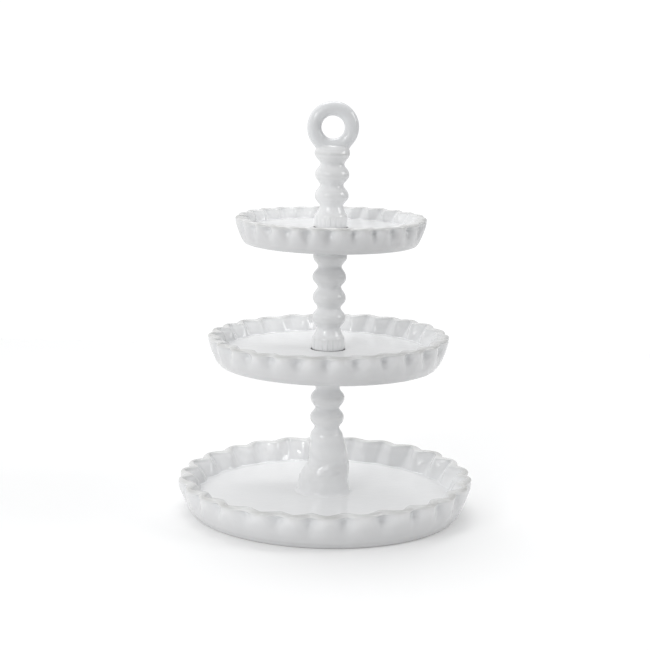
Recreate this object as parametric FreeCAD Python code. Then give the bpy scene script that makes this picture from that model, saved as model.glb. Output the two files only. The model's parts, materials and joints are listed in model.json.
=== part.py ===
"""Three-tier serving stand in white glazed stoneware.

Three fluted dishes of falling size are stacked on a column of turned beads and topped by a finger ring.
The lower column is luted to the bottom dish and the ring to the top column. The two upper columns each carry a steel stud that passes
through the dish below and screws into a threaded insert potted in the column under it, so the stand
unscrews into flat parts. Rubber gaskets part metal and clay at both faces of each loose dish.

Millimetres, +Z up. The origin is the centre of the bottom dish's foot ring, on the table.
"""

import FreeCAD
import Part

import math
import os

Vector = FreeCAD.Vector
UP = Vector(0, 0, 1)

# ---------------------------------------------------------------- driving dimensions
FLUTES = 26                     # flutes round each dish
POINTS_PER_FLUTE = 6            # spline points that shape one flute
FLOOR_THICKNESS = 7.0

# Per dish: rim and foot radii, foot height above the table, floor and rim heights above the foot,
# wall thickness at a crest, depth of the flutes at the rim outside (flute) and inside (fold), and how far
# the flutes are turned from the front.
DISHES = {
    "bottom_dish": dict(rim_r=125.0, foot_r=112.5, foot_z=0.0, floor_h=17.0, rim_h=32.0,
                        wall=4.2, flute=4.6, fold=8.6, turn=2.1),
    "middle_dish": dict(rim_r=102.5, foot_r=93.0, foot_z=127.3, floor_h=13.5, rim_h=25.7,
                        wall=3.9, flute=3.8, fold=7.0, turn=6.9),
    "top_dish": dict(rim_r=80.5, foot_r=72.5, foot_z=229.9, floor_h=14.0, rim_h=22.4,
                     wall=3.6, flute=3.2, fold=5.6, turn=6.9),
}

# Turned beads
BEAD_R = 14.0
WAIST_R = 9.8
BEAD_PITCH = 17.4
BEAD_SAMPLES = 8                # outline points to one bead
LOWER_BEAD_PITCH = 16.9
LOWER_BEAD_R = 14.4
LOWER_WAIST_R = 10.3

# Fluted collar at the foot of each upper column
COLLAR_R = 13.7
COLLAR_H = 9.5
COLLAR_GROOVES = 24
GROOVE_R = 1.1
GROOVE_DEPTH = 0.4
COLLAR_TO_WAIST = 17.9          # collar's seat to the first waist

# Bell foot of the lower column
BELL_R = 23.4
BELL_SHOULDER_R = 21.6
BELL_SHOULDER_H = 14.5
BELL_NECK_R = 17.0
BELL_NECK_H = 28.0
BELL_TO_BEAD = 47.2             # bottom dish's floor to the first bead
FOOT_SEAT_DEPTH = 1.5           # the foot is luted this deep into the bottom dish's floor

# Flange that takes the dish above
FLANGE_R = 13.0
FLANGE_H = 4.0

# Finger ring
RING_R = 15.5                   # to the middle of the ring's section
RING_SECTION_R = 6.1
RING_CENTRE_Z = 326.3

# Screwed joint, M6 x 1
STUD_R = 3.0
THREAD_CLEARANCE = 0.05
STUD_EMBED = 18.0
THREAD_ENGAGED = 10.0
STUD_CHAMFER = 0.6
INSERT_R = 4.5
INSERT_L = 12.0
INSERT_SOCKET_R = 7.0
INSERT_SOCKET_L = 16.0
STUD_SOCKET_R = 6.0
STUD_SOCKET_L = 20.0
CORE_R = 5.0                    # hollow left by casting
CORE_FLOOR = 6.0

# Loose dishes: centre hole, collar recess and gaskets
DISH_HOLE_R = 4.0
RECESS_R = 14.9
RECESS_DEPTH = 1.5
GASKET_T = 1.0
COLLAR_GASKET_R = 14.6
SEAT_GASKET_R = 12.5
GASKET_BORE_R = 3.3


# ---------------------------------------------------------------- levels worked out from them
def floor_z(dish):
    """Height of a dish's floor above the table."""
    return DISHES[dish]["foot_z"] + DISHES[dish]["floor_h"]


def collar_seat_z(dish):
    """Height of the collar that stands on the gasket in a dish's recess."""
    return floor_z(dish) - RECESS_DEPTH + GASKET_T


def column_top_z(dish):
    """Height of the column end that carries a dish, under its lower gasket."""
    return floor_z(dish) - FLOOR_THICKNESS - GASKET_T


# ---------------------------------------------------------------- small helpers
def cylinder(radius, z_low, z_high):
    return Part.makeCylinder(radius, z_high - z_low, Vector(0, 0, z_low), UP)


def tube(radius, bore, z_low, z_high):
    return cylinder(radius, z_low, z_high).cut(cylinder(bore, z_low, z_high))


def turned(outline, z_low, z_high):
    """Solid of revolution under an outline of (radius, z) points from z_low to z_high."""
    points = [Vector(r, 0, z) for r, z in outline]
    curve = Part.BSplineCurve()
    curve.interpolate(points)
    low = Vector(0, 0, z_low)
    high = Vector(0, 0, z_high)
    edges = [
        Part.LineSegment(low, points[0]).toShape(),
        curve.toShape(),
        Part.LineSegment(points[-1], high).toShape(),
        Part.LineSegment(high, low).toShape(),
    ]
    face = Part.Face(Part.Wire(edges))
    return face.revolve(Vector(0, 0, 0), UP, 360)


def fluted_wire(radius, depth, z, turn):
    """Closed outline whose crests reach radius and whose valleys lie depth further in."""
    count = FLUTES * POINTS_PER_FLUTE
    points = []
    for i in range(count):
        angle = 2 * math.pi * i / count
        wave = 0.5 - 0.5 * math.cos(FLUTES * angle)
        r = radius - depth * wave
        heading = angle + math.radians(turn)
        points.append(Vector(r * math.sin(heading), -r * math.cos(heading), z))
    curve = Part.BSplineCurve()
    curve.interpolate(points, PeriodicFlag=True)
    return Part.Wire([curve.toShape()])


def fluted_loft(sections, turn):
    """Solid through (radius, flute depth, z) sections, flat at both ends."""
    wires = [fluted_wire(radius, depth, z, turn) for radius, depth, z in sections]
    return Part.makeLoft(wires, True, False)


# ---------------------------------------------------------------- dishes
def dish(name, loose):
    """Fluted dish on a foot ring. A loose dish has the stud's hole and the collar's recess, the other a seat."""
    d = DISHES[name]
    foot = d["foot_z"]
    rim = foot + d["rim_h"]
    floor = foot + d["floor_h"]
    lean = (d["rim_r"] - d["foot_r"]) / d["rim_h"]
    middle_h = 0.5 * d["rim_h"]
    outside = fluted_loft(
        [
            (d["foot_r"] - 3.5, 0, foot),
            (d["foot_r"] - 0.6, 0, foot + 2.0),
            (d["foot_r"] + lean * 5.0, 0.15 * d["flute"], foot + 5.0),
            (d["foot_r"] + lean * middle_h, 0.55 * d["flute"], foot + middle_h),
            (d["rim_r"] - 1.2, 0.95 * d["flute"], rim - 4.5),
            (d["rim_r"], d["flute"], rim - 1.7),
            (d["rim_r"] - 1.5, d["flute"], rim),
        ],
        d["turn"],
    )
    inner_r = d["rim_r"] - d["wall"]
    drop = rim - floor
    inside = fluted_loft(
        [
            (inner_r - 0.86 * drop, 0.12 * d["fold"], floor),
            (inner_r - 0.60 * drop, 0.42 * d["fold"], floor + 0.3 * drop),
            (inner_r - 0.26 * drop, 0.76 * d["fold"], floor + 0.65 * drop),
            (inner_r, d["fold"], rim - 1.4),
            (inner_r + 0.8, d["fold"], rim + 0.2),
        ],
        d["turn"],
    )
    recess_top = floor - FLOOR_THICKNESS
    recess_r = d["foot_r"] - 9.0
    underside = Part.makeCone(recess_r, recess_r - 2.0, recess_top - foot, Vector(0, 0, foot), UP)
    body = outside.cut(inside).cut(underside)
    if loose:
        body = body.cut(cylinder(DISH_HOLE_R, foot, rim))
        body = body.cut(cylinder(RECESS_R, floor - RECESS_DEPTH, rim))
    else:
        body = body.cut(cylinder(BELL_R, floor - FOOT_SEAT_DEPTH, rim))
    return body


# ---------------------------------------------------------------- columns
def beads(first_waist_z, pitch, waist_r, bead_r, count):
    """Outline of count beads, from the waist below the first to the waist above the last."""
    mean = 0.5 * (bead_r + waist_r)
    swing = 0.5 * (bead_r - waist_r)
    steps = count * BEAD_SAMPLES
    outline = []
    for i in range(steps + 1):
        turn = 2 * math.pi * i / BEAD_SAMPLES
        z = first_waist_z + pitch * i / BEAD_SAMPLES
        outline.append((mean - swing * math.cos(turn), z))
    return outline


def grooves(seat_z):
    """Upright round-bottomed grooves to cut round a collar."""
    centre_r = COLLAR_R + GROOVE_R - GROOVE_DEPTH
    cutters = []
    for i in range(COLLAR_GROOVES):
        angle = 2 * math.pi * (i + 0.5) / COLLAR_GROOVES
        at = Vector(centre_r * math.cos(angle), centre_r * math.sin(angle), seat_z)
        cutters.append(Part.makeCylinder(GROOVE_R, COLLAR_H - 1.0, at, UP))
    return Part.makeCompound(cutters)


def collar_outline(seat_z):
    """Outline of the collar and its shoulder, up to just under the first waist."""
    return [
        (COLLAR_R, seat_z),
        (COLLAR_R, seat_z + 0.5 * COLLAR_H),
        (COLLAR_R - 0.2, seat_z + COLLAR_H),
        (COLLAR_R - 1.6, seat_z + COLLAR_H + 2.6),
        (WAIST_R + 0.5, seat_z + COLLAR_TO_WAIST - 2.4),
    ]


def flange_outline(top_z):
    return [(FLANGE_R - 0.6, top_z - FLANGE_H), (FLANGE_R, top_z - 0.5 * FLANGE_H), (FLANGE_R, top_z)]


def insert_socket(top_z):
    """Socket for a potted insert at the top of a column."""
    return cylinder(INSERT_SOCKET_R, top_z - INSERT_SOCKET_L, top_z)


def lower_column():
    base = floor_z("bottom_dish")
    top = column_top_z("middle_dish")
    first_bead = base + BELL_TO_BEAD
    first_waist = first_bead + 0.5 * LOWER_BEAD_PITCH
    bell = [
        (BELL_R, base),
        (BELL_R - 1.0, base + 3.0),
        (BELL_SHOULDER_R, base + BELL_SHOULDER_H),
        (BELL_NECK_R + 1.6, base + BELL_SHOULDER_H + 7.0),
        (BELL_NECK_R, base + BELL_NECK_H),
        (LOWER_BEAD_R + 0.9, base + BELL_NECK_H + 10.0),
        (LOWER_BEAD_R, first_bead),
        (LOWER_WAIST_R + 1.9, first_bead + 0.25 * LOWER_BEAD_PITCH),
    ]
    chain = beads(first_waist, LOWER_BEAD_PITCH, LOWER_WAIST_R, LOWER_BEAD_R, 3)
    body = turned(bell + chain + flange_outline(top), base, top)
    body = body.fuse(cylinder(BELL_R, base - FOOT_SEAT_DEPTH, base)).removeSplitter()
    core = cylinder(CORE_R, base + CORE_FLOOR, top)
    return body.cut(core).cut(insert_socket(top))


def middle_column():
    seat = collar_seat_z("middle_dish")
    top = column_top_z("top_dish")
    chain = beads(seat + COLLAR_TO_WAIST, BEAD_PITCH, WAIST_R, BEAD_R, 4)
    body = turned(collar_outline(seat) + chain + flange_outline(top), seat, top)
    body = body.cut(grooves(seat))
    body = body.cut(cylinder(CORE_R, seat, top))
    body = body.cut(cylinder(STUD_SOCKET_R, seat, seat + STUD_SOCKET_L))
    return body.cut(insert_socket(top))


def finger_ring():
    """Rolled ring, facing the front, that the stand is lifted by."""
    return Part.makeTorus(RING_R, RING_SECTION_R, Vector(0, 0, RING_CENTRE_Z), Vector(0, 1, 0))


def top_column():
    """Upper column, domed over its last bead and troughed there for the finger ring luted to it."""
    seat = collar_seat_z("top_dish")
    first_waist = seat + COLLAR_TO_WAIST
    chain = beads(first_waist, BEAD_PITCH, WAIST_R, BEAD_R, 3)
    shoulder = chain[: 2 * BEAD_SAMPLES + BEAD_SAMPLES // 2 + 2]
    crown_r, crown_z = shoulder[-1]
    crown = [(crown_r - 2.6, crown_z + 2.4)]
    body = turned(collar_outline(seat) + shoulder + crown, seat, crown_z + 3.0)
    body = body.cut(grooves(seat)).cut(finger_ring())
    return body.cut(cylinder(STUD_SOCKET_R, seat, seat + STUD_SOCKET_L))


# ---------------------------------------------------------------- hardware of a screwed joint
def stud(dish_name):
    """Steel stud, from its potted end down into the insert below the dish."""
    top = collar_seat_z(dish_name) + STUD_EMBED
    bottom = column_top_z(dish_name) - THREAD_ENGAGED
    body = cylinder(STUD_R, bottom, top)
    ends = [e for e in body.Edges if e.Closed and e.BoundBox.ZLength < STUD_CHAMFER]
    return body.makeChamfer(STUD_CHAMFER, ends)


def stud_potting(dish_name):
    """Cement between the stud and its socket, closed above the stud."""
    seat = collar_seat_z(dish_name)
    plug = cylinder(STUD_SOCKET_R, seat, seat + STUD_SOCKET_L)
    return plug.cut(stud(dish_name)).cut(cylinder(STUD_R, seat, seat + 1.0))


def insert(dish_name):
    """Threaded brass insert with two grip rings, flush with the column's end."""
    top = column_top_z(dish_name)
    body = tube(INSERT_R, STUD_R + THREAD_CLEARANCE, top - INSERT_L, top)
    for height in (0.3, 0.62):
        z = top - INSERT_L * height
        body = body.cut(tube(INSERT_R + 1.0, INSERT_R - 0.6, z - 0.9, z + 0.9))
    return body


def insert_potting(dish_name):
    """Cement between the insert and its socket, closed below the insert."""
    top = column_top_z(dish_name)
    plug = cylinder(INSERT_SOCKET_R, top - INSERT_SOCKET_L, top)
    bore = cylinder(STUD_R + THREAD_CLEARANCE, top - INSERT_L, top)
    return plug.cut(bore).cut(insert(dish_name))


def collar_gasket(dish_name):
    seat = collar_seat_z(dish_name)
    return tube(COLLAR_GASKET_R, GASKET_BORE_R, seat - GASKET_T, seat)


def seat_gasket(dish_name):
    top = column_top_z(dish_name)
    return tube(SEAT_GASKET_R, GASKET_BORE_R, top, top + GASKET_T)


# ---------------------------------------------------------------- write every piece
def pieces():
    made = {
        "bottom_dish": dish("bottom_dish", loose=False),
        "lower_column": lower_column(),
        "middle_dish": dish("middle_dish", loose=True),
        "middle_column": middle_column(),
        "top_dish": dish("top_dish", loose=True),
        "top_column": top_column(),
        "finger_ring": finger_ring(),
    }
    for tier in ("middle", "top"):
        loose_dish = tier + "_dish"
        made[tier + "_stud"] = stud(loose_dish)
        made[tier + "_stud_potting"] = stud_potting(loose_dish)
        made[tier + "_insert"] = insert(loose_dish)
        made[tier + "_insert_potting"] = insert_potting(loose_dish)
        made[tier + "_collar_gasket"] = collar_gasket(loose_dish)
        made[tier + "_seat_gasket"] = seat_gasket(loose_dish)
    return made


os.makedirs("parts", exist_ok=True)
for node, shape in pieces().items():
    solid = shape if shape.ShapeType == "Solid" else shape.Solids[0]
    box = solid.BoundBox
    print(
        f"{node:22s} solids {len(shape.Solids)} valid {shape.isValid()} volume {shape.Volume / 1000:8.2f} cm3"
        f" z {box.ZMin:7.2f} to {box.ZMax:7.2f} width {box.XLength:6.2f}"
    )
    solid.exportStep(f"parts/{node}.step")
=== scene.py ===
# %% [markdown]
# # A three-tier serving stand in white glaze
# Three fluted stoneware dishes stand one above another on columns of turned beads, with a finger ring on
# top. The stand unscrews, so its solids come grouped in bodies that move. This lesson dresses those
# solids: each one gets a glazed, moulded or machined surface built on its own sizes.
#
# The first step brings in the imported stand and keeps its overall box, because nothing made here may
# change the object's size.

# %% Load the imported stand
import json
import math

import bpy
import numpy as np
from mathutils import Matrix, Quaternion, Vector


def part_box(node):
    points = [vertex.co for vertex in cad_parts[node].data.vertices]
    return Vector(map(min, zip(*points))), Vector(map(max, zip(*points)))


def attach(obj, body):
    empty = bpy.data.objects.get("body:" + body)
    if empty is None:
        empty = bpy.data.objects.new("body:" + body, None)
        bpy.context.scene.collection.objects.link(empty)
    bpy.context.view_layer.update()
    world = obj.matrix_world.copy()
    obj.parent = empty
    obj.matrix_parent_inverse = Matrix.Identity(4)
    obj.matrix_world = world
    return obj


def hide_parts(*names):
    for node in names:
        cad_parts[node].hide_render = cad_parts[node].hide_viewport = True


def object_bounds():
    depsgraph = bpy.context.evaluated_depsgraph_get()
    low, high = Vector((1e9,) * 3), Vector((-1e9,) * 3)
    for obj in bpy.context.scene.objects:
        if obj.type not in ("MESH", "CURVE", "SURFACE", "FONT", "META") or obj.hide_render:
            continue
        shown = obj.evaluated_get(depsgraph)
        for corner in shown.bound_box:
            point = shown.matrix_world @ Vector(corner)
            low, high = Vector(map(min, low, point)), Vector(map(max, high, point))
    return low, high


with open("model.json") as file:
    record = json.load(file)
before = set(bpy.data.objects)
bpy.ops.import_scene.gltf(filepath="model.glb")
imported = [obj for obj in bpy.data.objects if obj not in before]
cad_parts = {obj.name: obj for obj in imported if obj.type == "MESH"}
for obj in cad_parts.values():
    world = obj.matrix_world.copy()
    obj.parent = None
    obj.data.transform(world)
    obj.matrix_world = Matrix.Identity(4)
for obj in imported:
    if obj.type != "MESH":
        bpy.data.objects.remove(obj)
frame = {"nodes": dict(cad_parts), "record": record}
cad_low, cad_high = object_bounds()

print("nodes:", sorted(frame["nodes"]))
print("height:", round(cad_high.z - cad_low.z, 4), "m")

# %% [markdown]
# ## Sizes to build on
# A potter works to a few sizes: how wide a rim is, how high a floor stands. Here they are read from the
# solids' own boxes and from the record's resting faces, so a change to the solids carries through. They
# are kept in millimetres, the unit a piece like this is measured in.

# %% Sizes, in millimetres
MM = 0.001


def span(node):
    """Radius, lowest and highest level of a round CAD node, in millimetres."""
    low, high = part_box(node)
    return 500 * (high.y - low.y), low.z / MM, high.z / MM


def floor_level(dish):
    """Level of a dish's floor, from the face the record gives for setting things down on."""
    for mount in frame["record"]["mounts"]:
        if mount["name"] == dish + "_floor":
            return mount["pos_m"][2] / MM
    raise ValueError(dish)


for dish in ("bottom_dish", "middle_dish", "top_dish"):
    print(dish, [round(x, 2) for x in span(dish)], "floor", floor_level(dish))

# %% [markdown]
# ## Smooth outlines
# Nearly everything on the stand is round, so a piece starts as half of its cross-section: a short list of
# points, each a radius and a level. A potter's rib leaves curves and not corners, so a Catmull-Rom curve
# is run through the points. Its centripetal form is used because it doesn't swing out past points that
# lie close together, as at a rim. Extra columns, such as how deep the fluting is there, ride along.

# %% Curve through outline points
def smooth_outline(rows, step):
    """Samples a centripetal Catmull-Rom curve through rows about every step; r, z are the first columns."""
    p = np.array(rows, float)
    p = np.vstack([2 * p[0] - p[1], p, 2 * p[-1] - p[-2]])
    out = [p[1]]
    for a, b, c, d in zip(p[:-3], p[1:-2], p[2:-1], p[3:]):
        knots = [0.0]
        for s, e in ((a, b), (b, c), (c, d)):
            knots.append(knots[-1] + max(np.hypot(*(e - s)[:2]), 1e-4) ** 0.5)
        t0, t1, t2, t3 = knots
        count = max(1, int(math.ceil(np.hypot(*(c - b)[:2]) / step)))
        for t in np.linspace(t1, t2, count + 1)[1:]:
            a1 = (t1 - t) / (t1 - t0) * a + (t - t0) / (t1 - t0) * b
            a2 = (t2 - t) / (t2 - t1) * b + (t - t1) / (t2 - t1) * c
            a3 = (t3 - t) / (t3 - t2) * c + (t - t2) / (t3 - t2) * d
            b1 = (t2 - t) / (t2 - t0) * a1 + (t - t0) / (t2 - t0) * a2
            b2 = (t3 - t) / (t3 - t1) * a2 + (t - t1) / (t3 - t1) * a3
            out.append((t2 - t) / (t2 - t1) * b1 + (t - t1) / (t2 - t1) * b2)
    return np.array(out)


print("a quarter bead:", np.round(smooth_outline([(10, 0), (12, 2), (14, 4)], 2), 2).tolist())

# %% [markdown]
# ## Turning an outline into a mesh
# A wheel spins an outline into a surface. Blender's Screw modifier could do that, but these surfaces
# also need flutes, leaning beads and marks that say where the glaze lies thick or thin. So the grid of
# points is made in code: three grids give x, y and z for every outline point at every heading, and the
# faces join neighbours. The marks are stored as point attributes that the material reads. A row whose
# points all lie on the axis becomes one point with triangles round it.

# %% Grid of points to mesh piece
def make_piece(name, body, replaces, grid, closed, marks=None):
    """Mesh from a grid (outline, heading, xyz in mm). closed joins the last outline row back to the first."""
    rows, cols = grid.shape[:2]
    index = np.arange(rows * cols).reshape(rows, cols)
    for j in range(rows):
        if np.ptp(grid[j], axis=0).max() < 1e-6:
            index[j] = index[j, 0]
    last = rows if closed else rows - 1
    here = index[:last]
    above = index[(np.arange(last) + 1) % rows]
    quads = np.stack([here, np.roll(here, -1, 1), np.roll(above, -1, 1), above], -1).reshape(-1, 4)
    used, compact = np.unique(quads, return_inverse=True)
    faces = []
    for quad in compact.reshape(-1, 4).tolist():
        faces.append(list(dict.fromkeys(quad)))
    mesh = bpy.data.meshes.new(name)
    mesh.from_pydata((grid.reshape(-1, 3)[used] * MM).tolist(), [], faces)
    for key, values in (marks or {}).items():
        attribute = mesh.attributes.new(key, "FLOAT", "POINT")
        attribute.data.foreach_set("value", values.reshape(-1)[used].astype(np.float32))
    mesh.shade_smooth()
    piece = bpy.data.objects.new(name, mesh)
    bpy.context.scene.collection.objects.link(piece)
    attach(piece, body)
    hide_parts(*replaces)
    print(name, len(used), "points")
    return piece


def around(radius, level, heading):
    """Grid from a radius and a level for every outline point and heading, counted from the front."""
    return np.stack([radius * np.sin(heading), -radius * np.cos(heading), level + 0 * radius], -1)


# %% [markdown]
# ## Shader helpers
# A finish is a tree of small nodes, and every finish here needs the same few moves: add a node and feed
# it, get noise of a certain size, mix two colours, shift a range, do a sum. Blender's node editor does
# this by hand; short functions keep the trees below readable.

# %% Shader helpers
def node(tree, kind, inputs=None, **settings):
    """Adds a shader node, sets its properties and feeds its inputs with values or other nodes' outputs."""
    made = tree.nodes.new(kind)
    for key, value in settings.items():
        setattr(made, key, value)
    for key, value in (inputs or {}).items():
        if isinstance(value, bpy.types.NodeSocket):
            tree.links.new(value, made.inputs[key])
        else:
            made.inputs[key].default_value = value
    return made


def blank_material(name, rgb, roughness):
    """Principled material with nothing linked yet; gives the material, its tree and its shader."""
    material = bpy.data.materials.new(name)
    material.use_nodes = True
    material.diffuse_color = (*rgb, 1)
    shader = material.node_tree.nodes["Principled BSDF"]
    shader.inputs["Base Color"].default_value = (*rgb, 1)
    shader.inputs["Roughness"].default_value = roughness
    return material, material.node_tree, shader


def noise(tree, where, scale, detail=2.0):
    return node(tree, "ShaderNodeTexNoise", {"Vector": where, "Scale": scale, "Detail": detail})


def mix(tree, factor, a, b):
    made = node(tree, "ShaderNodeMix", {"Factor": factor}, data_type="RGBA")
    for socket, value in zip(("A", "B"), (a, b)):
        slot = [s for s in made.inputs if s.name == socket and s.type == "RGBA"][0]
        if isinstance(value, bpy.types.NodeSocket):
            tree.links.new(value, slot)
        else:
            slot.default_value = (*value, 1)
    return [s for s in made.outputs if s.type == "RGBA"][0]


def remap(tree, value, low, high, to_low, to_high):
    ranged = {"Value": value, "From Min": low, "From Max": high, "To Min": to_low, "To Max": to_high}
    return node(tree, "ShaderNodeMapRange", ranged).outputs["Result"]


def math_node(tree, operation, a, b):
    made = node(tree, "ShaderNodeMath", operation=operation)
    for i, value in enumerate((a, b)):
        if isinstance(value, bpy.types.NodeSocket):
            tree.links.new(value, made.inputs[i])
        else:
            made.inputs[i].default_value = value
    return made.outputs[0]


print("helpers ready:", ", ".join(f.__name__ for f in (node, blank_material, noise, mix, remap, math_node)))

# %% [markdown]
# ## White glaze
# The glaze is a glossy, faintly blue white over a pale body. Its marks mix in three other colours, which
# are partly the glaze's own and partly painted shade. Edges, crests and the foot ring's bottom go toward a
# dark grey: partly thin glaze over the body, mostly painted shade on the lip tops. Creases, hollows,
# grooves, the pockets under the lip and the whole finger ring go toward a cooler, darker white: partly
# pooled glaze and partly painted shade, and on the ring only painted shade. Fired glaze is never quite
# flat: it has a fine orange-peel ripple, and on outer walls a rougher, drier skin, whose darker colour is
# painted shade on walls that face out and down. The material is built from noise on object coordinates,
# so the ripple has a real size, and from the marks each piece carries. A clear coat is left out: one
# glossy layer already gives a glaze's reflection.

# %% Glaze material
GLAZE = (0.845, 0.848, 0.852)
# Cool white: random cloudy tone, and painted shade where the pooled mark lies.
GLAZE_COOL_AND_SHADED = (0.74, 0.752, 0.765)
# Colour of the dry outer skin: its darkness is painted shade on outer walls and undersides.
GLAZE_DRY_AND_SHADED = (0.68, 0.682, 0.688)
# Dark grey of the thin mark: partly thin glaze over the body, mostly painted shade on lip tops and edges.
GLAZE_THIN_AND_SHADED = (0.44, 0.435, 0.415)


def make_glaze():
    material, tree, shader = blank_material("white_glaze", GLAZE, 0.12)
    where = node(tree, "ShaderNodeTexCoord").outputs["Object"]
    pool_and_shade = node(tree, "ShaderNodeAttribute", attribute_name="pool_and_shade").outputs["Fac"]
    thin_glaze_and_shade = node(tree, "ShaderNodeAttribute", attribute_name="thin_glaze_and_shade").outputs["Fac"]
    dry_and_shade = node(tree, "ShaderNodeAttribute", attribute_name="dry_and_shade").outputs["Fac"]
    run = node(tree, "ShaderNodeAttribute", attribute_name="run").outputs["Fac"]
    cloud = noise(tree, where, 38.0, 3.0).outputs["Fac"]
    speck = noise(tree, where, 620.0, 2.0).outputs["Fac"]
    cloudy = remap(tree, cloud, 0.3, 0.7, 0.0, 0.16)
    colour = mix(tree, cloudy, GLAZE, GLAZE_COOL_AND_SHADED)
    # Dry skin: rougher glaze, and a darker colour that is painted shade on walls facing out and down.
    colour = mix(tree, dry_and_shade, colour, GLAZE_DRY_AND_SHADED)
    # Pooled colour: a cooler, darker white, partly pooled glaze and partly painted shade in creases, pockets
    # and grooves.
    colour = mix(tree, math_node(tree, "MULTIPLY", pool_and_shade, 0.75), colour, GLAZE_COOL_AND_SHADED)
    # Thin colour: a dark grey, partly thin glaze over the body and mostly painted shade on the lip tops.
    colour = mix(tree, math_node(tree, "MULTIPLY", thin_glaze_and_shade, remap(tree, cloud, 0.3, 0.7, 0.35, 0.8)),
                 colour, GLAZE_THIN_AND_SHADED)
    tree.links.new(colour, shader.inputs["Base Color"])
    rough = math_node(tree, "ADD", remap(tree, cloud, 0.3, 0.7, 0.035, 0.08),
                      math_node(tree, "MULTIPLY", dry_and_shade, remap(tree, speck, 0.3, 0.7, 0.08, 0.2)))
    tree.links.new(rough, shader.inputs["Roughness"])
    ripple = noise(tree, where, 260.0, 2.0).outputs["Fac"]
    swell = noise(tree, where, 70.0, 2.0).outputs["Fac"]
    skin = node(tree, "ShaderNodeBump", {
        "Height": math_node(tree, "MULTIPLY", speck, dry_and_shade), "Strength": 0.035, "Distance": 0.0005})
    peel = node(tree, "ShaderNodeBump", {
        "Height": math_node(tree, "MULTIPLY", ripple, remap(tree, run, 0, 1, 0.25, 1.0)),
        "Strength": 0.42, "Distance": 0.0006, "Normal": skin.outputs["Normal"]})
    soft = node(tree, "ShaderNodeBump", {
        "Height": math_node(tree, "MULTIPLY", swell, remap(tree, run, 0, 1, 0.5, 1.0)),
        "Strength": 0.10, "Distance": 0.0015, "Normal": peel.outputs["Normal"]})
    tree.links.new(soft.outputs["Normal"], shader.inputs["Normal"])
    shader.inputs["IOR"].default_value = 1.52
    return material


glaze = make_glaze()
print("glaze nodes:", len(glaze.node_tree.nodes))

# %% [markdown]
# ## Flutes
# Each dish's wall is folded into flutes, like the edge of a pie. Seen in plan it is a zigzag of nearly
# flat panels. The clay is thick, so where it folds outward the inside has a sharp crease and the outside
# a round lobe, and where it folds inward it is the other way about. A cosine would round both alike, so
# the wave is a straight line from crest to valley with its own rounding at each end.
# Hand work is uneven, so every crest sits a little off its even place and every valley has its own depth.

# %% Flute waves
FLUTES = 26
POINTS_PER_FLUTE = 20
PITCH = 2 * math.pi / FLUTES


def uneven(seed):
    """A small offset for each flute, from -1 to 1, the same on every run."""
    return np.random.default_rng(seed).uniform(-1, 1, FLUTES)


class Flutes:
    """Headings round a dish, each with its distance from the nearest crest and its depth and height share."""

    def __init__(self, turn, seed):
        crest = math.radians(turn) + PITCH * (np.arange(FLUTES) + 0.10 * uneven(seed))
        following = np.append(crest[1:], crest[0] + 2 * math.pi)
        step = np.arange(POINTS_PER_FLUTE) / POINTS_PER_FLUTE
        step = step - 0.07 * np.sin(2 * math.pi * step)
        self.heading = (crest[:, None] + (following - crest)[:, None] * step).ravel()
        self.off_crest = np.tile(2 * np.minimum(step, 1 - step), FLUTES)
        self.depth = self.blend(1 + 0.13 * uneven(seed + 1), step)
        self.lift = self.blend(uneven(seed + 2), step)

    @staticmethod
    def blend(values, step):
        smooth = step * step * (3 - 2 * step)
        return (values[:, None] * (1 - smooth) + np.roll(values, -1)[:, None] * smooth).ravel()

    def wave(self, at_crest, at_valley):
        """1 on the crests, 0 in the valleys, rounded over a share of the way at each."""
        v = self.off_crest
        fall = np.where(v < at_crest, v * v / (2 * at_crest), v - at_crest / 2)
        full = 1 - at_crest / 2 - at_valley / 2
        fall = np.where(v > 1 - at_valley, full - (1 - v) ** 2 / (2 * at_valley), fall)
        return 1 - fall / full


print("flute pitch:", round(math.degrees(PITCH), 2), "degrees")

# %% [markdown]
# ## Fluted dish
# A dish is one thrown and pressed shell: a foot ring underneath, a wall that leans outward and deepens
# into flutes as it rises, a rolled lip, and a nearly level floor. Inside, the folds are deep at the lip and
# die out at the floor. Outside, they are deepest in the pockets just under the lip. The outline lists,
# for each point, its radius and level and then how strongly it is fluted, whether it belongs to the
# inside, how much of the rim's waviness it takes, and the marks for thin, pooled and dry glaze. These
# marks also paint shade: dark grey on the lip top and the foot ring's bottom, a darker white in the
# pockets under the lip, in the crease round the floor and inside the foot ring, and a darker colour on
# the outer walls and underside.
# Subdividing a low cage would soften the creases, so the surface is sampled finely from the start.

# %% Dish outline
FLOOR_THICKNESS = 7.0
HOLE_R = 4.0
RECESS_R = 14.5
RECESS_DEPTH = 1.5
FOOT_SHARE = 0.9


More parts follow.
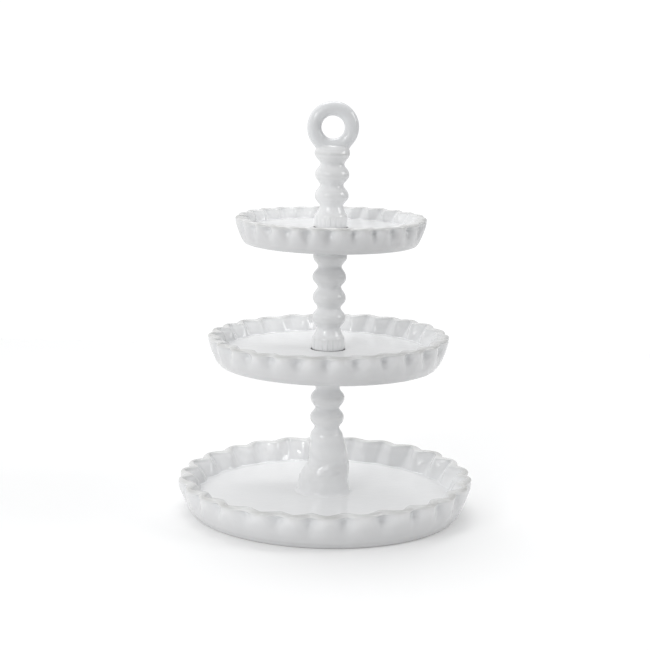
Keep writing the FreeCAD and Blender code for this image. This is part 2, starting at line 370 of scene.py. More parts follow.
def dish_outline(dish, loose):
    """Rows of r, z, flute, inside, rim, thin, pool, dry from the underside's middle round to the floor's."""
    rim_r, foot_z, rim_z = span(dish)
    height = rim_z - foot_z
    floor = floor_level(dish)
    under = floor - FLOOR_THICKNESS
    foot_r = FOOT_SHARE * rim_r
    wall = 2.9 + 1.4 * rim_r / 125
    inner = rim_r - 1.10 * wall
    drop = rim_z - floor
    reach = 0.86 * drop
    edge = rim_z - 0.55 * wall
    corner = floor - 0.6

    middle = [(HOLE_R, under + 0.5, 0, 0, 0, 0, 0, 0), (HOLE_R + 0.5, under, 0, 0, 0, 0, 0, 0)]
    if not loose:
        middle = [(0, under, 0, 0, 0, 0, 0, 0)]
    # Underside marks darken it as painted shade: dry over the whole underside, pooled in the corner inside
    # the foot ring, and thin, a dark grey, on the foot ring's bottom, where partly the body shows.
    underside = [
        (foot_r - 18, under, 0, 0, 0, 0, 0, 0.6),
        (foot_r - 13, under - 0.3, 0, 0, 0, 0, 0.6, 0.6),
        (foot_r - 11.0, under - 2.5, 0, 0, 0, 0, 0.5, 0.6),
        (foot_r - 10.0, foot_z + 3.0, 0, 0, 0, 0, 0, 0.6),
        (foot_r - 9.3, foot_z + 0.8, 0, 0, 0, 0.3, 0, 0.8),
        (foot_r - 8.2, foot_z, 0, 0, 0, 1, 0, 1),
        (foot_r - 2.4, foot_z, 0, 0, 0, 1, 0, 1),
        (foot_r - 0.9, foot_z + 0.2, 0, 0, 0, 0.5, 0, 1),
    ]
    outside = []
    # Outside rows: dry roughens the outer wall and darkens it as painted shade on a wall facing out and down;
    # pooled darkens the pockets under the lip as painted shadow.
    for up, back, flute, rim, pool_and_shade, dry_and_shade in (
            (0.03, 0.98, 0.00, 0.0, 0.0, 1.0), (0.09, 0.86, 0.02, 0.0, 0.0, 1.0),
            (0.17, 0.70, 0.06, 0.1, 0.0, 1.0), (0.29, 0.53, 0.18, 0.1, 0.0, 1.0),
            (0.42, 0.37, 0.37, 0.2, 0.1, 0.9), (0.56, 0.21, 0.70, 0.4, 0.2, 0.8),
            (0.68, 0.08, 1.14, 0.6, 0.5, 0.6), (0.77, 0.01, 1.48, 0.8, 0.9, 0.5)):
        outside.append((rim_r - back * (rim_r - foot_r), foot_z + up * height, flute, 0, rim, 0, pool_and_shade, dry_and_shade))
    # Rim rows: thin turns the lip top dark grey, mostly painted shade and partly thin glaze; the first row's
    # pooled mark is painted shadow under the lip.
    rim = [
        (rim_r, rim_z - 0.80 * wall, 1.30, 0.0, 1, 0.2, 0.9, 0.3),
        (rim_r, rim_z - 0.50 * wall, 0.86, 0.0, 1, 0.6, 0, 0),
        (rim_r - 0.16 * wall, rim_z - 0.18 * wall, 0.80, 0.1, 1, 1, 0, 0),
        (rim_r - 0.50 * wall, rim_z, 0.88, 0.45, 1, 1, 0, 0),
        (rim_r - 0.82 * wall, rim_z - 0.08 * wall, 0.95, 0.85, 1, 0.9, 0, 0),
        (rim_r - 0.99 * wall, rim_z - 0.27 * wall, 0.98, 0.97, 1, 0.4, 0, 0),
        (inner, edge, 1, 1, 0.9, 0, 0, 0),
    ]
    inside = []
    # Inside rows: pooled darkens the crease round the floor, partly pooled glaze and partly painted shade.
    for along, down, flute, rim_share, pool_and_shade in (
            (0.20, 0.20, 0.90, 0.6, 0.0), (0.44, 0.45, 0.70, 0.3, 0.0), (0.70, 0.72, 0.48, 0.1, 0.1),
            (0.87, 0.90, 0.34, 0, 0.4), (0.95, 0.985, 0.28, 0, 0.6), (1.05, 1.0, 0.22, 0, 0.6),
            (1.3, 0.98, 0.08, 0, 0.2), (1.7, 0.95, 0, 0, 0)):
        inside.append((inner - along * reach, edge - down * (edge - corner), flute, 1, rim_share, 0, pool_and_shade, 0))
    if not loose:
        well = [(60, floor - 0.1), (30, floor - 0.02), (0, floor)]
        return middle + underside + outside + rim + inside + [(r, z) + (0,) * 6 for r, z in well]
    well = [
        (RECESS_R + 25, floor - 0.1),
        (RECESS_R + 6, floor - 0.02),
        (RECESS_R + 0.8, floor - 0.05),
        (RECESS_R + 0.2, floor - 0.25),
        (RECESS_R, floor - 0.6),
        (RECESS_R - 0.1, floor - RECESS_DEPTH + 0.1),
        (RECESS_R - 0.4, floor - RECESS_DEPTH),
        (HOLE_R + 0.5, floor - RECESS_DEPTH),
        (HOLE_R, floor - RECESS_DEPTH - 0.5),
    ]
    return middle + underside + outside + rim + inside + [(r, z) + (0,) * 6 for r, z in well]


print("outline rows:", len(dish_outline("bottom_dish", False)), len(dish_outline("top_dish", True)))

# %% [markdown]
# ## The three dishes
# The outline is now spun and fluted. Inside and outside take slightly different waves: the inner edge
# zigzags more than the outer one. The rim also rises and falls gently and tilts, by nearly three
# millimetres on the largest dish, and the round is a fraction of a millimetre out of true, as fired clay is.

# %% Spin and flute the dishes
OUTER_DEPTH = 4.7
INNER_DEPTH = 8.8


def make_dish(dish, body, loose, turn, seed, right_up, back_up):
    rim_r = span(dish)[0]
    rows = smooth_outline(dish_outline(dish, loose), 0.9)
    rows = np.vstack([rows[:1], rows[1:][np.hypot(*np.diff(rows[:, :2], axis=0).T) > 0.02]])
    flutes = Flutes(turn, seed)
    r, z, flute, inside, rim, thin_glaze_and_shade, pool_and_shade, dry_and_shade = (column[:, None] for column in rows.T)
    size = 0.4 + 0.6 * rim_r / 125
    depth = size * (OUTER_DEPTH + (INNER_DEPTH - OUTER_DEPTH) * inside) * flutes.depth
    crest = (1 - inside) * flutes.wave(0.66, 0.20) + inside * flutes.wave(0.16, 0.26)
    h = flutes.heading
    true = 0.25 * np.sin(2 * h + seed) + 0.2 * np.sin(5 * h + 2 * seed)
    radius = r - flute * depth * (1 - crest) - flute * (0.3 + true) * size
    radius = np.where(r < 1e-6, 0, radius)
    wavy = 0.35 * flutes.lift + 0.3 * np.sin(3 * h + 1.7 * seed) + 0.25 * (crest - 1)
    level = z + rim * (wavy * size + right_up * np.sin(h) - back_up * np.cos(h))
    # Marks per point: thin paints the lip's crests dark grey, pool darkens the outer pockets and inner
    # creases, dry darkens the outer walls; all partly painted shade.
    marks = {
        "thin_glaze_and_shade": thin_glaze_and_shade * (0.6 + 0.4 * crest) + 0.0 * h,
        "pool_and_shade": np.clip(pool_and_shade * (1 - crest * (1 - inside)) + 0.4 * inside * flute * (crest > 0.85), 0, 1),
        "dry_and_shade": dry_and_shade + 0.0 * h,
        "run": inside * flute + 0.0 * h,
    }
    piece = make_piece(dish + "_glazed", body, [dish], around(radius, level, h), loose, marks)
    piece.data.materials.append(glaze)
    return piece


make_dish("bottom_dish", "lower_stand", False, 2.1, 3, 2.0, 2.0)
make_dish("middle_dish", "middle_tray", True, 6.9, 11, 1.7, 0.5)
make_dish("top_dish", "top_tray", True, 6.9, 23, 0.6, 0.4)

# %% [markdown]
# ## Turned beads
# The columns look like beads on a string: each bead is round and falls to a tighter waist. A plain cosine
# makes both alike, so a little of its second harmonic is added, which tightens the waists. Thrown by
# hand, each bead leans a trifle and has its own width. Beads could be stacked spheres, but a stack has
# creases where the real column has soft waists.

# %% Bead outline and hand-made unevenness
OUTLINE_STEP = 0.6
COLUMN_HEADINGS = np.linspace(0, 2 * math.pi, 120, endpoint=False)


def bead_radius(turns, waist_r, bead_r):
    """Radius after so many turns of the bead wave; whole turns are waists."""
    wave = -np.cos(2 * math.pi * turns) - 0.13 * np.cos(4 * math.pi * turns) + 0.13
    return waist_r + (bead_r - waist_r) * 0.5 * (wave + 1)


def bead_rows(first_waist, pitch, count, waist_r, bead_r, seed):
    """Rows of r, z, sideways shift and dry mark for count beads, each a little different."""
    vary = np.random.default_rng(seed).uniform(-1, 1, (count + 1, 3))
    rows = []
    for turns in np.arange(0, count + 1e-6, 1 / 10):
        k = min(int(turns), count - 1)
        share = turns - k
        bump = math.sin(math.pi * share) ** 2
        r = bead_radius(turns, waist_r, bead_r) + 0.22 * vary[k, 0] * bump
        z = first_waist + pitch * turns + 0.35 * vary[k, 1] * bump
        rows.append((r, z, 0.25 * vary[k, 2] * bump, 0.0))
    return rows


def by_hand(heading, z, seed):
    """Unevenness of a thrown surface, in mm."""
    return (0.10 * np.sin(2 * heading + z / 9 + seed) + 0.07 * np.sin(3 * heading - z / 5 + 2 * seed)
            + 0.05 * np.sin(5 * heading + z / 3.3 + 3 * seed) + 0.06 * np.sin(z / 2.1 + heading + seed))


print("bead rows:", len(bead_rows(0, 17.4, 4, 9.8, 14.0, 1)))

# %% [markdown]
# ## Columns with their sockets
# A column is hollow: a wide socket at each end for the cement that holds the screw parts, and a narrow
# core between. The two upper columns stand on a fluted collar. Its upright grooves are shallow and
# unevenly deep, and run out into the shoulder above. Grooves could be cut with a boolean, but a depth for
# every heading and level is simpler and leaves soft edges under the glaze.

# %% Column sizes and collar grooves
STUD_SOCKET = (6.0, 20.0)
INSERT_SOCKET = (7.0, 16.0)
CORE_R = 5.0
COLLAR_R = 13.7
COLLAR_H = 9.5
COLLAR_TO_WAIST = 17.9
COLLAR_GROOVES = 18
GROOVE_DEPTH = 0.55
BEAD_PITCH = 17.4
BEAD_R = 14.0
WAIST_R = 9.8


def collar_grooves(heading, z, seat):
    """Depth cut into the collar at each heading and level."""
    tooth = np.abs(np.sin(0.5 * COLLAR_GROOVES * heading + 0.25 * np.sin(3 * heading)))
    groove = np.exp(-((tooth / 0.34) ** 2)) * (0.75 + 0.25 * np.sin(5 * heading + 1))
    fade = np.clip((seat + COLLAR_H + 1.2 - z) / 2.0, 0, 1) * np.clip((z - seat + 0.2) / 0.8, 0, 1)
    return GROOVE_DEPTH * groove * fade


print("deepest groove:", round(float(collar_grooves(COLUMN_HEADINGS, 4.0, 0.0).max()), 2), "mm")

# %% [markdown]
# ## Spinning a column
# The outline of a column runs once round the whole wall, outside and in, and closes on itself. The skin
# outside gets the unevenness of the hand, fading out at both ends so that the column still seats flat.
# The glaze marks come from the outline's own bend: hollows and collar grooves are darkened, partly pooled
# glaze and partly painted shade, and crests run thin and take a little of the dark grey that paints shade on
# the lip tops.

# %% Spin a column
def spin_column(name, body, nodes, outer, inner, seed, seat=None):
    """Column from its outer outline (r, z, shift, dry), going up, and its inner one (r, z), going down."""
    outside = smooth_outline(outer, OUTLINE_STEP)
    hollow = np.array([(r, z, 0, 0) for r, z in inner], float)
    rows = np.vstack([outside, hollow])
    r, z, shift, dry_and_shade = (column[:, None] for column in rows.T)
    h = COLUMN_HEADINGS[None, :]
    if seat is not None:
        h = np.linspace(0, 2 * math.pi, 12 * COLLAR_GROOVES, endpoint=False)[None, :]
    skin = (np.arange(len(rows)) < len(outside))[:, None]
    low, high = outside[:, 1].min(), outside[:, 1].max()
    ends = np.clip((z - low) / 1.5, 0, 1) * np.clip((high - z) / 1.5, 0, 1)
    radius = r + skin * ends * by_hand(h, z, seed)
    cut = 0 * radius
    if seat is not None:
        cut = skin * collar_grooves(h, z, seat)
    grid = around(radius - cut, z, h)
    grid[..., 0] += skin * shift
    slope = np.gradient(np.gradient(rows[:, 0]))[:, None]
    # Pool darkens hollows and grooves, partly pooled glaze and partly painted shade; thin mixes in the dark
    # grey shade colour on crests; dry roughens the bell and darkens it a little.
    marks = {
        "pool_and_shade": skin * np.clip(3 * slope + cut, 0, 0.5) + 0 * h,
        "thin_glaze_and_shade": skin * np.clip(-3 * slope, 0, 0.35) + 0 * h,
        "dry_and_shade": skin * dry_and_shade + 0 * h,
    }
    piece = make_piece(name, body, nodes, grid, True, marks)
    piece.data.materials.append(glaze)
    return piece


def collar_rows(seat):
    return [
        (COLLAR_R - 0.5, seat, 0, 0),
        (COLLAR_R - 0.1, seat + 0.3, 0, 0),
        (COLLAR_R, seat + 1.2, 0, 0),
        (COLLAR_R, seat + 0.5 * COLLAR_H, 0, 0),
        (COLLAR_R - 0.15, seat + COLLAR_H, 0, 0),
        (COLLAR_R - 0.7, seat + COLLAR_H + 1.4, 0, 0),
        (COLLAR_R - 1.9, seat + COLLAR_H + 3.0, 0, 0),
        (WAIST_R + 0.9, seat + COLLAR_TO_WAIST - 3.0, 0, 0),
    ]


def flange_rows(top):
    return [(12.2, top - 5, 0, 0), (12.9, top - 3.4, 0, 0), (13, top - 1, 0, 0), (12.6, top, 0, 0)]


print("collar rows:", len(collar_rows(0)), "flange rows:", len(flange_rows(0)))

# %% [markdown]
# ## Middle column
# Collar, four beads and a flange that carries the dish above. The inner outline goes down through the
# socket for the insert, the casting's core and the socket for the stud.

# %% Middle column
_, middle_seat, middle_top = span("middle_column")
middle_beads = bead_rows(middle_seat + COLLAR_TO_WAIST, BEAD_PITCH, 4, WAIST_R, BEAD_R, 5)
middle_inner = [
    (INSERT_SOCKET[0], middle_top),
    (INSERT_SOCKET[0], middle_top - INSERT_SOCKET[1]),
    (CORE_R, middle_top - INSERT_SOCKET[1]),
    (CORE_R, middle_seat + STUD_SOCKET[1]),
    (STUD_SOCKET[0], middle_seat + STUD_SOCKET[1]),
    (STUD_SOCKET[0], middle_seat),
]
spin_column("middle_column_glazed", "middle_post", ["middle_column"],
            collar_rows(middle_seat) + middle_beads + flange_rows(middle_top), middle_inner, 1.0, middle_seat)

# %% [markdown]
# ## Lower column and its bell foot
# Under its three full beads the lower column swells into a bell that sags over a plain round foot. It was
# joined to the dish wet: the bell slumps to the right, the foot sits a little to the left, so a step shows
# on one side and one smooth bulge on the other. Each outline row therefore has its own sideways shift. The
# glaze is wrinkled over the joint, where it ran and caught, and it fills the corner against the dish.

# %% Lower column
LOWER_BEAD_PITCH = 16.9
LOWER_FIRST_WAIST = 55.65
LOWER_CORE_FLOOR = 6.0
lower_base = floor_level("bottom_dish")
lower_top = span("lower_column")[2]

bell = [
    (25.2, lower_base - 0.15, -1.1, 0.0),
    (23.9, lower_base + 0.15, -1.2, 0.0),
    (22.9, lower_base + 0.9, -1.2, 0.0),
    (22.2, lower_base + 2.2, -1.2, 0.0),
    (21.7, lower_base + 4.6, -1.2, 0.1),
    (21.3, lower_base + 9.0, -1.1, 0.1),
    (20.8, lower_base + 13.1, -0.9, 0.2),
    (19.7, lower_base + 17.5, 0.0, 0.3),
    (18.5, lower_base + 21.0, 1.3, 0.3),
    (17.4, lower_base + 25.7, 2.5, 0.3),
    (17.0, lower_base + 31.0, 2.6, 0.2),
    (16.2, lower_base + 37.5, 2.2, 0.1),
    (15.1, lower_base + 43.0, 1.4, 0.2),
    (14.4, lower_base + 46.8, 0.6, 0.0),
    (13.3, lower_base + 50.6, 0.5, 0.0),
]
lower_beads = bead_rows(lower_base + LOWER_FIRST_WAIST, LOWER_BEAD_PITCH, 3, 10.3, 14.3, 8)
lower_beads = [(r, z, shift + 0.5, dry_and_shade) for r, z, shift, dry_and_shade in lower_beads]
lower_inner = [
    (INSERT_SOCKET[0], lower_top),
    (INSERT_SOCKET[0], lower_top - INSERT_SOCKET[1]),
    (CORE_R, lower_top - INSERT_SOCKET[1]),
    (CORE_R, lower_base + LOWER_CORE_FLOOR),
    (0.5, lower_base + LOWER_CORE_FLOOR),
    (0.5, lower_base - 0.05),
]
lower_piece = spin_column("lower_column_glazed", "lower_stand", ["lower_column"],
                          bell + lower_beads + flange_rows(lower_top), lower_inner, 2.2)

# %% [markdown]
# ## Wrinkles over the joint
# The wrinkles are pressed into the finished mesh. Each point near the joint moves in or out by a few
# tenths of a millimetre, following smooth lumps of noise stretched sideways, as running glaze leaves them.
# They fade out above and below the joint.

# %% Wrinkled glaze over the joint
from mathutils import noise as lumps

WRINKLE_LEVEL = lower_base + 21.0
WRINKLE_SPREAD = 13.0


def wrinkle(piece):
    moved = 0
    for v in piece.data.vertices:
        x, y, z = v.co / MM
        around_axis = math.hypot(x, y)
        if around_axis < 13.0:
            continue
        fade = math.exp(-(((z - WRINKLE_LEVEL) / WRINKLE_SPREAD) ** 2))
        if z < lower_base + 2.5:
            fade *= max(0.0, (z - lower_base - 0.5) / 2.0)
        lump = lumps.noise(Vector((x / 9.0, y / 9.0, z / 6.0)))
        fine = lumps.noise(Vector((x / 4.2, y / 4.2, z / 3.0)))
        shift = fade * (1.0 * lump + 0.25 * fine) / around_axis * MM
        v.co.x += x * shift
        v.co.y += y * shift
        moved += abs(shift) > 0
    print("wrinkled", moved, "points")


wrinkle(lower_piece)

# %% [markdown]
# ## Top column and finger ring
# The ring is a rolled coil of clay pressed onto the last bead and smoothed over, so the two flow into one
# another. A voxel remesh would join them but lose the crisp collar. Instead each surface swells outward
# where it comes near the other, by just as much as a rounded join would need there. The two meshes then
# meet in a soft fillet, and each still stands for its own solid.

# %% Distances and the fillet
FILLET = 8.0
_, top_seat, crown_top = span("top_column")
_, ring_low, ring_high = span("finger_ring")
ring_low_corner, ring_high_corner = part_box("finger_ring")
RING_OUTER = 500 * (ring_high_corner.x - ring_low_corner.x)
RING_SECTION = 500 * (ring_high_corner.y - ring_low_corner.y)
RING_MIDDLE = RING_OUTER - RING_SECTION
RING_CENTRE = 0.5 * (ring_low + ring_high)
# Strength of the pooled mark on the ring: painted shade that darkens the whole ring.
RING_PAINTED_SHADE = 0.9
LAST_BEAD = top_seat + COLLAR_TO_WAIST + 2.5 * BEAD_PITCH


def off_ring(points):
    """Distance of points (x, y, z in mm) from the ring's surface."""
    across = np.hypot(points[..., 0], points[..., 2] - RING_CENTRE) - RING_MIDDLE
    return np.hypot(across, points[..., 1]) - RING_SECTION


def off_crown(points):
    """Distance from the last bead, taken as a flattened ball."""
    flat = np.stack([points[..., 0] / 14.0, points[..., 1] / 14.0, (points[..., 2] - LAST_BEAD) / 5.5], -1)
    size = np.linalg.norm(flat, axis=-1)
    return (size - 1) * np.linalg.norm(points - [0, 0, LAST_BEAD], axis=-1) / np.maximum(size, 1e-6)


def swell(distance):
    near = np.clip(FILLET - np.abs(distance), 0, None)
    return near * near / (4 * FILLET)


def fillet(piece, distance, above):
    """Moves a piece's points outward where they lie near the other surface."""
    mesh = piece.data
    co = np.array([v.co for v in mesh.vertices]) / MM
    normal = np.array([v.normal for v in mesh.vertices])
    amount = swell(distance(co)) * (co[:, 2] > above)
    mesh.vertices.foreach_set("co", ((co + normal * amount[:, None]) * MM).astype(np.float32).ravel())
    mesh.update()
    print(piece.name, "swells by up to", round(float(amount.max()), 2), "mm")


print("ring to crown:", round(float(off_crown(np.array([0.0, 0.0, ring_low]))), 2), "mm")

# %% [markdown]
# ## Spin the top column and roll the ring
# The column ends in a low crown under the ring, which closes on the axis. The ring is a coil whose
# thickness changes a little on the way round. Its whole surface takes the pooled mark, which darkens it
# all over as painted shade.

# %% Top column and ring
top_beads = bead_rows(top_seat + COLLAR_TO_WAIST, BEAD_PITCH, 3, WAIST_R, BEAD_R, 9)[:26]
crown = [
    (13.0, LAST_BEAD + 2.2, 0, 0),
    (11.0, LAST_BEAD + 4.0, 0, 0),
    (7.5, LAST_BEAD + 5.2, 0, 0),
    (0.6, crown_top, 0, 0),
]
top_inner = [
    (0.6, top_seat + STUD_SOCKET[1]),
    (STUD_SOCKET[0], top_seat + STUD_SOCKET[1]),
    (STUD_SOCKET[0], top_seat),
]
top_piece = spin_column("top_column_glazed", "top_post", ["top_column"],
                        collar_rows(top_seat) + top_beads + crown, top_inner, 3.1, top_seat)
fillet(top_piece, off_ring, LAST_BEAD - 4)

section = np.linspace(0, 2 * math.pi, 64, endpoint=False)[:, None]
round_ring = np.linspace(0, 2 * math.pi, 200, endpoint=False)[None, :]
thick = RING_SECTION - 0.12 + 0.10 * np.sin(2 * round_ring + 0.6) + 0.06 * np.sin(5 * round_ring)
reach = RING_MIDDLE + thick * np.cos(section)
ring_grid = np.stack([reach * np.sin(round_ring), thick * np.sin(section) + 0 * round_ring,
                      RING_CENTRE + reach * np.cos(round_ring)], -1)
# The ring's pooled mark is painted shade over the whole ring.
ring_piece = make_piece("finger_ring_glazed", "top_post", ["finger_ring"], ring_grid, True,
                        {"pool_and_shade": RING_PAINTED_SHADE + 0 * reach})
ring_piece.data.materials.append(glaze)
fillet(ring_piece, off_crown, 0)

# %% [markdown]
# ## Screw parts
# Out of sight, a steel stud joins each pair of columns through the dish between them. It shows when the
# stand is unscrewed, so it gets a real M6 thread: a surface whose radius rises and falls as it winds, one
# millimetre to the turn. The brass insert it screws into has the matching thread inside, and two grooves
# between straight-knurled bands outside, for the cement to grip.

# %% Steel and brass
def make_metal(name, rgb, roughness, grain):
    """Turned metal: fine rings of tool marks round the axis, and cloudy polish."""
    material, tree, shader = blank_material(name, rgb, roughness)
    where = node(tree, "ShaderNodeTexCoord").outputs["Object"]
    squash = node(tree, "ShaderNodeMapping", {"Vector": where, "Scale": (60, 60, 3000)}).outputs["Vector"]
    marks = noise(tree, squash, 1.0, 2.0).outputs["Fac"]
    cloud = noise(tree, where, 300.0).outputs["Fac"]
    darker = tuple(0.72 * c for c in rgb)
    tree.links.new(mix(tree, remap(tree, cloud, 0.35, 0.65, 0, 0.6), rgb, darker),
                   shader.inputs["Base Color"])
    tree.links.new(remap(tree, cloud, 0.3, 0.7, roughness - 0.07, roughness + 0.1),
                   shader.inputs["Roughness"])
    bump = node(tree, "ShaderNodeBump", {"Height": marks, "Strength": grain, "Distance": 0.00004})
    tree.links.new(bump.outputs["Normal"], shader.inputs["Normal"])
    shader.inputs["Metallic"].default_value = 1.0
    return material


zinc = make_metal("zinc_plated_steel", (0.62, 0.63, 0.65), 0.3, 0.5)
brass = make_metal("turned_brass", (0.78, 0.60, 0.30), 0.32, 0.4)
print("metals:", zinc.name, brass.name)

# %% [markdown]
# ## Threads
# A thread is easiest as a height on a cylinder: at each heading and level, find how far along the pitch
# that point lies, and take the radius from a triangle wave with its tips cut flat. The ends run out
# smoothly to the root, as a cut thread does at its chamfer.

# %% Thread
THREAD_PITCH = 1.0
THREAD_DEPTH = 0.54


def thread(heading, level):
    """0 at the thread's crest, 1 at its root, for a right-hand thread."""
    along = (level / THREAD_PITCH - heading / (2 * math.pi)) % 1.0
    return np.clip(2.6 * np.abs(along - 0.5) - 0.2, 0, 1)


print("thread over one pitch:", np.round(thread(0.0, np.arange(0, 1, 0.25)), 2).tolist())

# %% [markdown]
# ## Stud and insert
# The stud is the thread on a cylinder with two flat ends. The insert has it inside, on a bore a shade
# wider, so the two never touch. Its knurl is a square wave round the outside.

# %% Stud and insert
STUD_END_RUN_OUT = 0.7
INSERT_BORE_R = 3.05


def make_stud(node_name, body):
    r, low, high = span(node_name)
    h = np.linspace(0, 2 * math.pi, 40, endpoint=False)[None, :]
    z = np.arange(low + 0.01, high - 0.005, 0.1)[:, None]
    ends = np.clip(np.minimum(z - low, high - z) / STUD_END_RUN_OUT, 0, 1)
    radius = r - THREAD_DEPTH * thread(h, z) * ends - (1 - ends) * 0.6
    grid = around(radius, z, h)
    caps = [around(np.zeros((1, h.size)), np.full((1, 1), level), h) for level in (low, high)]
    piece = make_piece(node_name + "_threaded", body, [node_name],
                       np.concatenate([caps[0], grid, caps[1]]), False)
    piece.data.materials.append(zinc)


def make_insert(node_name, body):
    r, low, high = span(node_name)
    h = np.linspace(0, 2 * math.pi, 96, endpoint=False)[None, :]
    z = np.arange(low, high + 0.05, 0.2)[:, None]
    length = high - low
    knurl = 0.12 * (np.arange(96) % 4 < 2)[None, :]
    outer = r - knurl + 0 * z
    for share in (0.3, 0.62):
        middle = high - length * share
        outer = np.where(np.abs(z - middle) < 0.9, r - 0.62 + 0 * h, outer)
    bore = INSERT_BORE_R + THREAD_DEPTH * (1 - thread(h, z))
    grid = np.concatenate([around(outer, z, h), around(bore[::-1], z[::-1], h)])
    piece = make_piece(node_name + "_threaded", body, [node_name], grid, True)
    piece.data.materials.append(brass)


make_stud("middle_stud", "middle_post")
make_stud("top_stud", "top_post")
make_insert("middle_insert", "lower_stand")
make_insert("top_insert", "middle_post")

# %% [markdown]
# ## Gaskets and cement
# Four thin rubber rings keep clay from grinding on clay. The two under the collars show as a fine dark
# line. Rubber is a dusty near-black. The cement that holds the screw parts keeps its plain solids and only
# gets a finish: a matt, grainy grey with small pits.

# %% Rubber and cement finishes
def make_rubber():
    material, tree, shader = blank_material("black_rubber", (0.035, 0.035, 0.038), 0.6)
    where = node(tree, "ShaderNodeTexCoord").outputs["Object"]
    dust = noise(tree, where, 900.0, 3.0).outputs["Fac"]
    tree.links.new(mix(tree, remap(tree, dust, 0.4, 0.7, 0, 0.5), (0.03, 0.03, 0.033), (0.09, 0.09, 0.09)),
                   shader.inputs["Base Color"])
    tree.links.new(remap(tree, dust, 0.3, 0.7, 0.5, 0.75), shader.inputs["Roughness"])
    bump = node(tree, "ShaderNodeBump", {"Height": dust, "Strength": 0.3, "Distance": 0.0001})
    tree.links.new(bump.outputs["Normal"], shader.inputs["Normal"])
    return material


def make_cement():
    material, tree, shader = blank_material("potting_cement", (0.62, 0.61, 0.58), 0.85)
    where = node(tree, "ShaderNodeTexCoord").outputs["Object"]
    grit = noise(tree, where, 1500.0, 4.0).outputs["Fac"]
    patch = noise(tree, where, 180.0).outputs["Fac"]
    tree.links.new(mix(tree, patch, (0.66, 0.65, 0.62), (0.50, 0.49, 0.46)), shader.inputs["Base Color"])
    tree.links.new(remap(tree, grit, 0.3, 0.7, 0.75, 0.95), shader.inputs["Roughness"])
    bump = node(tree, "ShaderNodeBump", {"Height": grit, "Strength": 0.6, "Distance": 0.0002})
    tree.links.new(bump.outputs["Normal"], shader.inputs["Normal"])
    return material


rubber = make_rubber()
cement = make_cement()
print("finishes:", rubber.name, cement.name)

# %% [markdown]
# ## Moulded rings
# The rings are moulded, so their edges are rounded. Each is a little smaller than its solid, so that it
# clears the glaze that fills the edge of the recess.

# %% Gaskets and cemented parts
GASKET_BORE_R = 3.3
GASKET_SQUEEZE = 0.3


def make_gasket(node_name, body):
    r, low, high = span(node_name)
    r -= GASKET_SQUEEZE
    section = [
        (GASKET_BORE_R, low + 0.2), (GASKET_BORE_R + 0.2, low), (r - 0.35, low), (r - 0.1, low + 0.15),
        (r, low + 0.5), (r - 0.1, high - 0.15), (r - 0.35, high), (GASKET_BORE_R + 0.2, high),
        (GASKET_BORE_R, high - 0.2),
    ]
    rows = np.array(section)
    h = COLUMN_HEADINGS[None, :]
    grid = around(rows[:, :1] + 0 * h, rows[:, 1:], h)
    piece = make_piece(node_name + "_moulded", body, [node_name], grid, True)
    piece.data.materials.append(rubber)


make_gasket("middle_seat_gasket", "lower_stand")
make_gasket("middle_collar_gasket", "middle_gasket")
make_gasket("top_seat_gasket", "middle_post")
make_gasket("top_collar_gasket", "top_gasket")

for potting in ("middle_stud_potting", "middle_insert_potting", "top_stud_potting", "top_insert_potting"):
    solid = frame["nodes"][potting]
    solid.data.materials.clear()
    solid.data.materials.append(cement)
print("cemented:", len([n for n in frame["nodes"] if n.endswith("_potting")]))

# %% [markdown]
# ## Studio
# White china on a white ground needs light with direction, or its form disappears. The sky is pale all
# round, brighter above and behind and darker on the right, so each wall keeps a light and a shaded side.
# Whatever it gives as a light, it is shown pure white behind the stand.

# %% Sky
scene = bpy.context.scene
scene.view_settings.view_transform = "Standard"
scene.view_settings.look = "None"
world = bpy.data.worlds.new("studio_sky")
scene.world = world
world.use_nodes = True
sky = world.node_tree.nodes["Background"]
SKY_LEVEL = 0.57
SKY_RISE = 0.15
SKY_BACK = 0.20
SKY_RIGHT = -0.34
SKY_SHOWN = 1.06


def part_of_sky(axis, share):
    """The heading's x, y or z times a share: how much brighter the sky grows that way."""
    return math_node(world.node_tree, "MULTIPLY", heading_in_sky.outputs[axis], share)


heading_in_sky = node(world.node_tree, "ShaderNodeSeparateXYZ",
                      {"Vector": node(world.node_tree, "ShaderNodeTexCoord").outputs["Generated"]})
level_of_sky = math_node(world.node_tree, "ADD", part_of_sky("Z", SKY_RISE), SKY_LEVEL)
level_of_sky = math_node(world.node_tree, "ADD", level_of_sky, part_of_sky("Y", SKY_BACK))
level_of_sky = math_node(world.node_tree, "ADD", level_of_sky, part_of_sky("X", SKY_RIGHT))
sky.inputs["Color"].default_value = (0.99, 0.995, 1.0, 1)
shown = node(world.node_tree, "ShaderNodeLightPath").outputs["Is Camera Ray"]
shown = math_node(world.node_tree, "MULTIPLY", shown, SKY_SHOWN)
level_of_sky = math_node(world.node_tree, "MAXIMUM", level_of_sky, shown)
world.node_tree.links.new(level_of_sky, sky.inputs["Strength"])
print("sky nodes:", len(world.node_tree.nodes))

# %% [markdown]
# ## Table
# The table is a flat pale sheet with a faint glow of its own, as on a studio light table, which keeps the
# shadow under the foot soft. It grows paler away from the stand, so that it runs into the white behind. A
# curved backdrop is left out, because it stays grey unless it has lamps of its own.

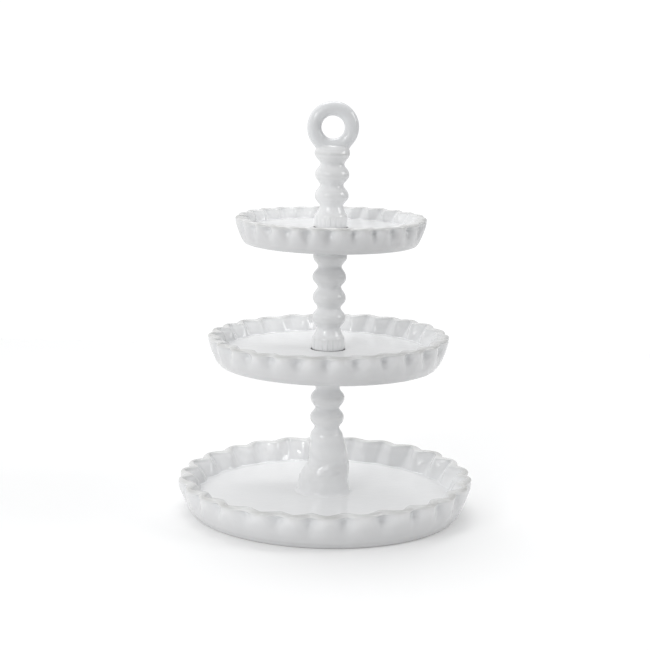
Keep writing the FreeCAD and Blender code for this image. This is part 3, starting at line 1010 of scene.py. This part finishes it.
# %% Table
TABLE_GLOW = 0.14
floor_material, floor_tree, floor_shader = blank_material("studio_floor", (0.9, 0.9, 0.9), 0.9)
floor_where = node(floor_tree, "ShaderNodeTexCoord").outputs["Object"]
floor_away = node(floor_tree, "ShaderNodeVectorMath", {"Vector": floor_where}, operation="LENGTH")
floor_pale = remap(floor_tree, floor_away.outputs["Value"], 0.2, 1.2, 0.0, 1.0)
floor_tree.links.new(mix(floor_tree, floor_pale, (0.80, 0.80, 0.80), (0.86, 0.86, 0.86)),
                     floor_shader.inputs["Base Color"])
floor_shader.inputs["Emission Color"].default_value = (1, 1, 1, 1)
floor_shader.inputs["Emission Strength"].default_value = TABLE_GLOW

FLOOR_FRONT = -0.42
FLOOR_BACK = 0.75
FLOOR_HALF = 0.9


def make_floor():
    """Flat table top, a hair under the foot ring."""
    z = cad_low.z - 0.0002
    co = [(x, y, z) for y in (FLOOR_FRONT, FLOOR_BACK) for x in (-FLOOR_HALF, FLOOR_HALF)]
    mesh = bpy.data.meshes.new("studio_floor")
    mesh.from_pydata(co, [], [(0, 1, 3, 2)])
    mesh.materials.append(floor_material)
    floor = bpy.data.objects.new("studio_floor", mesh)
    scene.collection.objects.link(floor)
    return floor


print("floor faces:", len(make_floor().data.polygons))

# %% [markdown]
# ## Lamps
# Each lamp is a flat panel. It is placed by its heading round the stand and its height, as one would
# walk a stand about a studio, and turned to face the middle of the piece. A broad window on the left
# shapes the columns, a small bright panel beside it and one on the right draw the glints in the glaze,
# and one overhead lights the dishes' floors.

# %% Lamps
MIDDLE = Vector((0, 0, 0.5 * (cad_low.z + cad_high.z)))


def lamp(name, heading, rise, away, width, height, watts, rgb=(1, 1, 1)):
    """Panel lamp; heading 0 is the front and 90 the right, rise is degrees above the middle."""
    h, e = math.radians(heading), math.radians(rise)
    where = MIDDLE + away * Vector((math.sin(h) * math.cos(e), -math.cos(h) * math.cos(e), math.sin(e)))
    data = bpy.data.lights.new(name, "AREA")
    data.shape = "RECTANGLE"
    data.size, data.size_y = width, height
    data.energy, data.color = watts, rgb
    made = bpy.data.objects.new(name, data)
    made.location = where
    made.rotation_mode = "QUATERNION"
    made.rotation_quaternion = (MIDDLE - where).to_track_quat("-Z", "Y")
    scene.collection.objects.link(made)
    print(name, "at", [round(x, 2) for x in where])


lamp("window_left", -26, 24, 1.7, 0.65, 1.15, 4.4)
lamp("bright_left", -40, 27, 1.6, 0.30, 0.30, 2.6)
lamp("strip_right", 84, 30, 1.3, 0.46, 0.54, 4.0)
lamp("overhead_back", 190, 66, 1.7, 1.2, 0.8, 9.6)

# %% [markdown]
# ## Camera
# The view is from a little above the table with a long lens, level with the top of the stand. It is rolled
# by a little over a degree, as a hand-held view is, which keeps the tall column from looking stiff.

# %% Camera
CAMERA_AWAY = 1.4432
CAMERA_UP = 0.4182
CAMERA_DOWN = 10.123
CAMERA_ROLL = 1.3
LENS = 96.55

camera_data = bpy.data.cameras.new("camera")
camera_data.lens = LENS
camera_data.sensor_width = 36
camera_data.clip_start, camera_data.clip_end = 0.05, 20
camera = bpy.data.objects.new("camera", camera_data)
camera.location = (-0.003, -CAMERA_AWAY, CAMERA_UP)
camera.rotation_mode = "QUATERNION"
camera.rotation_quaternion = (Quaternion((1, 0, 0), math.radians(90 - CAMERA_DOWN))
                              @ Quaternion((0, 0, 1), math.radians(CAMERA_ROLL)))
scene.collection.objects.link(camera)
scene.camera = camera
print("camera at", [round(x, 3) for x in camera.location])
